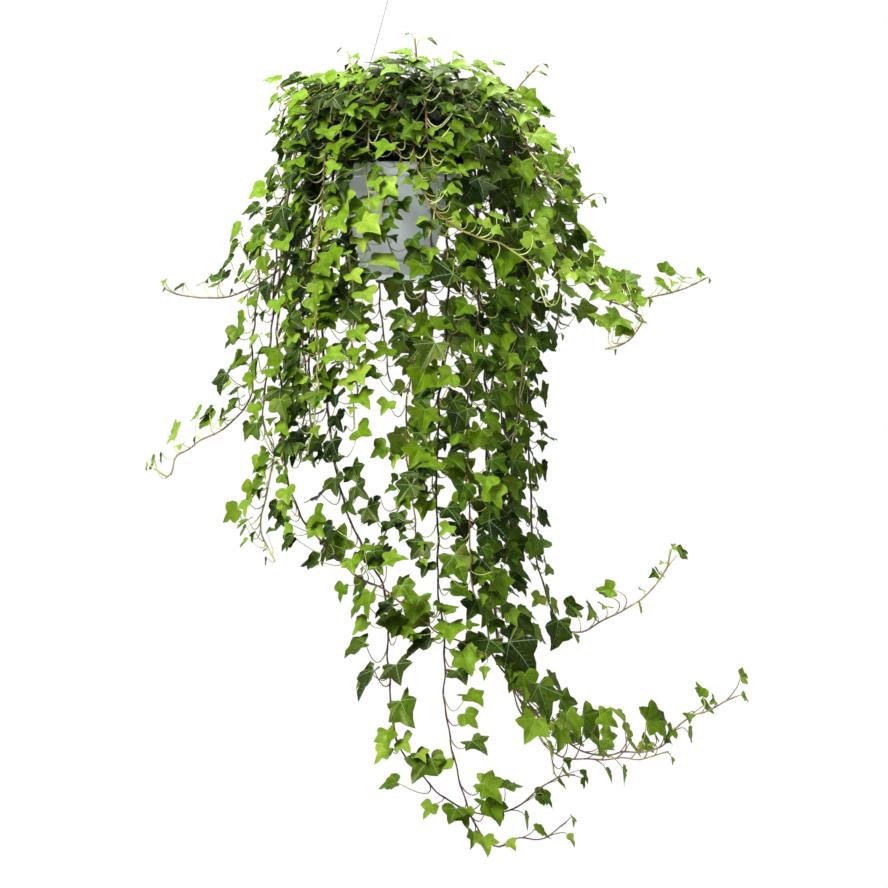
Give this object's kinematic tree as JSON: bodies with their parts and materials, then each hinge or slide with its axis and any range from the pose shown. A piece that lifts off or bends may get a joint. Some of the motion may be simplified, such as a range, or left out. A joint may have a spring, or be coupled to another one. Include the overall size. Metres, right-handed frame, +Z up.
{
  "type": "potted english ivy",
  "caption": "Trailing ivy with pointed lobed leaves in a tapered hanging pot with a clip-on saucer, on a three-armed hanger with a hook.",
  "frame": {"origin": "inner top of the hook, where it rests on a rail or a ceiling hook", "axes": "+Z up, -Y to the front that the picture shows, +X to the right in that view"},
  "size_m": [0.7467, 0.3132, 1.1293],
  "materials": {
    "pot_plastic": "satin",
    "white_plastic": "satin",
    "peat": "matte",
    "dark_leaf": "satin",
    "young_leaf": "satin"
  },
  "bodies": {
    "root": {"hanger": "white_plastic", "pot": "pot_plastic", "saucer": "pot_plastic", "soil": "peat", "spray_right_hook": "young_leaf", "spray_right_long": "young_leaf", "spray_right_rear": "young_leaf", "spray_right_turned_up": "young_leaf", "spray_right_upper": "young_leaf", "sprig_far_left": "young_leaf", "sprig_top_left": "young_leaf", "sprig_top_middle": "young_leaf", "sprig_top_right": "young_leaf", "stem_column_front": "dark_leaf", "stem_column_long": "dark_leaf", "stem_column_right": "dark_leaf", "stem_front_across": "young_leaf", "stem_front_low": "dark_leaf", "stem_front_pale": "young_leaf", "stem_left_cluster": "dark_leaf", "stem_left_crossing": "dark_leaf", "stem_left_curtain": "dark_leaf", "stem_left_inner": "dark_leaf", "stem_left_long": "dark_leaf", "stem_left_reach": "young_leaf", "stem_left_rear": "dark_leaf", "stem_left_spray": "young_leaf", "stem_low_middle": "dark_leaf", "stem_low_reach": "dark_leaf", "stem_low_right": "dark_leaf", "stem_low_twin": "dark_leaf", "stem_mound_01": "dark_leaf", "stem_mound_02": "dark_leaf", "stem_mound_03": "dark_leaf", "stem_mound_04": "dark_leaf", "stem_mound_05": "dark_leaf", "stem_mound_06": "dark_leaf", "stem_mound_07": "dark_leaf", "stem_mound_08": "dark_leaf", "stem_mound_09": "dark_leaf", "stem_mound_10": "dark_leaf", "stem_mound_11": "dark_leaf", "stem_mound_12": "dark_leaf", "stem_mound_13": "dark_leaf", "stem_rear_column": "dark_leaf", "stem_rear_left": "dark_leaf", "stem_rear_middle": "dark_leaf", "stem_rear_right": "dark_leaf", "stem_turning_back": "dark_leaf"}
  },
  "joints": []
}
